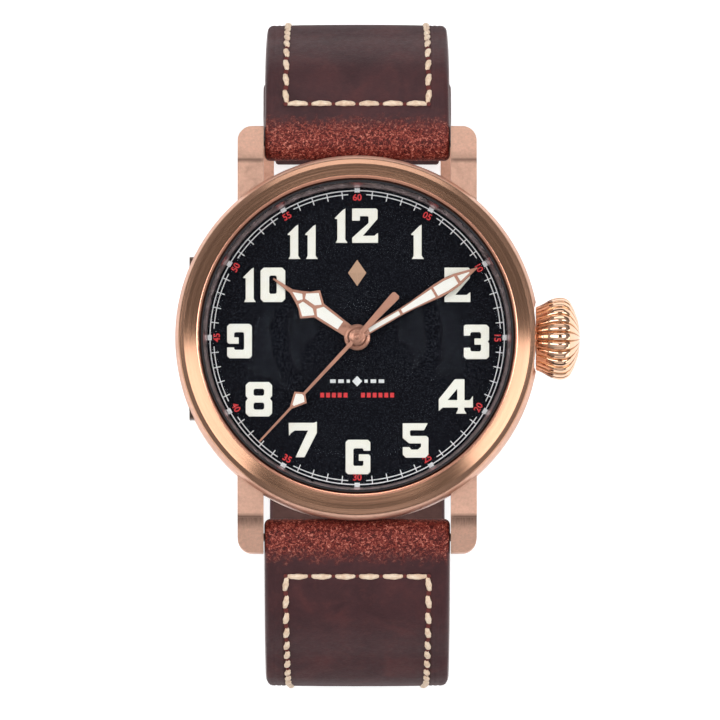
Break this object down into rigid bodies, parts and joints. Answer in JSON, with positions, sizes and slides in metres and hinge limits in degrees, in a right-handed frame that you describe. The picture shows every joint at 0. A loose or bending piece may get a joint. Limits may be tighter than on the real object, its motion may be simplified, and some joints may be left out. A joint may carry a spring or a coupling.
{
  "type": "pilot watch",
  "caption": "Large round pilot watch with a fluted onion crown, applied luminous numerals, an automatic movement and an unbuckled stitched leather strap",
  "frame": {"origin": "centre of the case back's outer face, on the axis of the hands", "axes": "+Z out of the dial, +Y towards twelve o'clock, +X towards the crown"},
  "size_m": [0.0501, 0.081, 0.0804],
  "materials": {
    "case_bronze": "fine satin",
    "bezel_bronze": "brushed slope with polished edges",
    "crown_bronze": "polished",
    "hand_bronze": "polished",
    "steel": "brushed",
    "steel_polished": "polished",
    "black_plate": "black coating",
    "dial_black": "fine grained black lacquer",
    "lume": "luminous paint",
    "sapphire": "clear, coated against reflections",
    "seal": "matte",
    "seal_clear": "translucent seal",
    "movement_brass": "fine satin",
    "movement_nickel": "striped",
    "ruby": "polished",
    "blued_spring": "blued",
    "strap_leather": "waxed oxblood leather",
    "strap_lining": "plain lining leather",
    "thread": "waxed thread"
  },
  "bodies": {
    "case": {"mid_case": "case_bronze", "bezel": "bezel_bronze", "crystal": "sapphire", "crystal_gasket": "seal_clear", "rehaut_ring": "steel_polished", "case_back": "case_bronze", "case_back_gasket": "seal", "crown_tube": "steel", "side_plate": "black_plate", "side_plate_screws": "steel", "strap_spring_bars": "steel", "dial": "dial_black", "hour_numerals": "lume", "dial_marker": "crown_bronze", "movement_ring": "steel", "main_plate": "movement_nickel", "barrel_bridge": "movement_nickel", "train_bridge": "movement_nickel", "balance_cock": "movement_nickel", "jewels": "ruby", "bridge_screws": "steel_polished", "rotor_axle": "steel"},
    "clutch": {"sliding_clutch": "steel"},
    "crown": {"crown": "crown_bronze", "crown_gasket": "seal", "winding_stem": "steel_polished"},
    "winding_pinion": {"winding_pinion": "steel"},
    "crown_wheel": {"crown_wheel": "steel"},
    "ratchet": {"ratchet_wheel": "steel", "barrel_arbor": "steel", "mainspring": "blued_spring"},
    "barrel": {"barrel_drum": "movement_brass"},
    "centre_wheel": {"centre_wheel": "movement_brass"},
    "third_wheel": {"third_wheel": "movement_brass"},
    "seconds": {"fourth_wheel": "movement_brass", "second_hand": "hand_bronze", "second_hand_lume": "lume"},
    "escape_wheel": {"escape_wheel": "steel"},
    "pallet_fork": {"pallet_fork": "steel"},
    "balance": {"balance_wheel": "movement_brass", "hairspring": "blued_spring"},
    "minutes": {"cannon_pinion": "steel", "minute_hand": "hand_bronze", "minute_hand_lume": "lume"},
    "minute_wheel": {"minute_wheel": "movement_brass"},
    "hours": {"hour_wheel": "movement_brass", "hour_hand": "hand_bronze", "hour_hand_lume": "lume"},
    "rotor": {"rotor": "movement_nickel"},
    "strap_12": {"strap_12_leather": "strap_leather", "strap_12_lining": "strap_lining", "strap_12_stitching": "thread", "buckle_spring_bar": "steel", "fixed_keeper": "strap_leather"},
    "sliding_keeper": {"sliding_keeper": "strap_leather"},
    "buckle": {"buckle_frame": "case_bronze"},
    "tongue": {"buckle_tongue": "crown_bronze"},
    "strap_6": {"strap_6_leather": "strap_leather", "strap_6_lining": "strap_lining", "strap_6_stitching": "thread"}
  },
  "joints": [
    {"name": "second_hand_turn", "type": "hinge", "parent": "case", "child": "seconds", "pos_m": [0, 0, 0.009], "axis": [0, 0, -1], "continuous": true},
    {"name": "centre_wheel_turn", "type": "hinge", "parent": "case", "child": "centre_wheel", "pos_m": [0, 0, 0.0057], "axis": [0, 0, -1], "continuous": true},
    {"name": "third_wheel_turn", "type": "hinge", "parent": "case", "child": "third_wheel", "pos_m": [-0.00439, -0.0016, 0.005], "axis": [0, 0, -1], "continuous": true},
    {"name": "escape_wheel_turn", "type": "hinge", "parent": "case", "child": "escape_wheel", "pos_m": [0.00163, -0.00349, 0.005], "axis": [0, 0, -1], "continuous": true},
    {"name": "barrel_turn", "type": "hinge", "parent": "case", "child": "barrel", "pos_m": [0.00468, 0.00356, 0.0052], "axis": [0, 0, -1], "continuous": true},
    {"name": "pallet_fork_rock", "type": "hinge", "parent": "case", "child": "pallet_fork", "pos_m": [-0.00027, -0.00499, 0.0053], "axis": [0, 0, 1], "range_deg": [-4, 4]},
    {"name": "balance_swing", "type": "hinge", "parent": "case", "child": "balance", "pos_m": [-0.00261, -0.00684, 0.005], "axis": [0, 0, 1], "range_deg": [-135, 135], "stiffness_Nm_per_rad": 0.0000003, "deforming": ["hairspring"]},
    {"name": "minute_hand_turn", "type": "hinge", "parent": "case", "child": "minutes", "pos_m": [0, 0, 0.0095], "axis": [0, 0, -1], "continuous": true},
    {"name": "minute_wheel_turn", "type": "hinge", "parent": "case", "child": "minute_wheel", "pos_m": [0.00192, -0.00333, 0.0074], "axis": [0, 0, -1], "continuous": true},
    {"name": "hour_hand_turn", "type": "hinge", "parent": "case", "child": "hours", "pos_m": [0, 0, 0.0088], "axis": [0, 0, -1], "continuous": true},
    {"name": "crown_turn", "type": "hinge", "parent": "case", "child": "clutch", "pos_m": [0.0103, 0, 0.0061], "axis": [1, 0, 0], "continuous": true},
    {"name": "crown_pull", "type": "slide", "parent": "clutch", "child": "crown", "axis": [1, 0, 0], "range_m": [0, 0.0014]},
    {"name": "winding_pinion_turn", "type": "hinge", "parent": "case", "child": "winding_pinion", "pos_m": [0.0118, 0, 0.0061], "axis": [1, 0, 0], "continuous": true},
    {"name": "crown_wheel_turn", "type": "hinge", "parent": "case", "child": "crown_wheel", "pos_m": [0.0095, 0, 0.0044], "axis": [0, 0, 1], "continuous": true},
    {"name": "ratchet_turn", "type": "hinge", "parent": "case", "child": "ratchet", "pos_m": [0.00468, 0.00356, 0.0044], "axis": [0, 0, 1], "continuous": true},
    {"name": "rotor_turn", "type": "hinge", "parent": "case", "child": "rotor", "pos_m": [0, 0, 0.0026], "axis": [0, 0, 1], "continuous": true},
    {"name": "strap_12_hinge", "type": "hinge", "parent": "case", "child": "strap_12", "pos_m": [0, 0.0245, 0.0032], "axis": [1, 0, 0], "range_deg": [0, 60]},
    {"name": "strap_6_hinge", "type": "hinge", "parent": "case", "child": "strap_6", "pos_m": [0, -0.0245, 0.0032], "axis": [-1, 0, 0], "range_deg": [0, 60]},
    {"name": "keeper_slide", "type": "slide", "parent": "strap_12", "child": "sliding_keeper", "axis": [0, 0.4657, 0.8849], "range_m": [0, 0.003]},
    {"name": "buckle_hinge", "type": "hinge", "parent": "strap_12", "child": "buckle", "pos_m": [0, 0.0276, -0.0629], "axis": [1, 0, 0], "range_deg": [-30, 60]},
    {"name": "tongue_hinge", "type": "hinge", "parent": "buckle", "child": "tongue", "pos_m": [0, 0.0276, -0.0629], "axis": [1, 0, 0], "range_deg": [0, 80]}
  ],
  "couplings": [
    {"joint": "third_wheel_turn", "follows": "second_hand_turn", "ratio": -0.125},
    {"joint": "centre_wheel_turn", "follows": "second_hand_turn", "ratio": 0.016667},
    {"joint": "barrel_turn", "follows": "second_hand_turn", "ratio": -0.0027778},
    {"joint": "escape_wheel_turn", "follows": "second_hand_turn", "ratio": -10},
    {"joint": "minute_wheel_turn", "follows": "minute_hand_turn", "ratio": -0.33333},
    {"joint": "hour_hand_turn", "follows": "minute_hand_turn", "ratio": 0.083333},
    {"joint": "winding_pinion_turn", "follows": "crown_turn", "ratio": 1},
    {"joint": "crown_wheel_turn", "follows": "crown_turn", "ratio": 0.5},
    {"joint": "ratchet_turn", "follows": "crown_turn", "ratio": -0.33333}
  ]
}
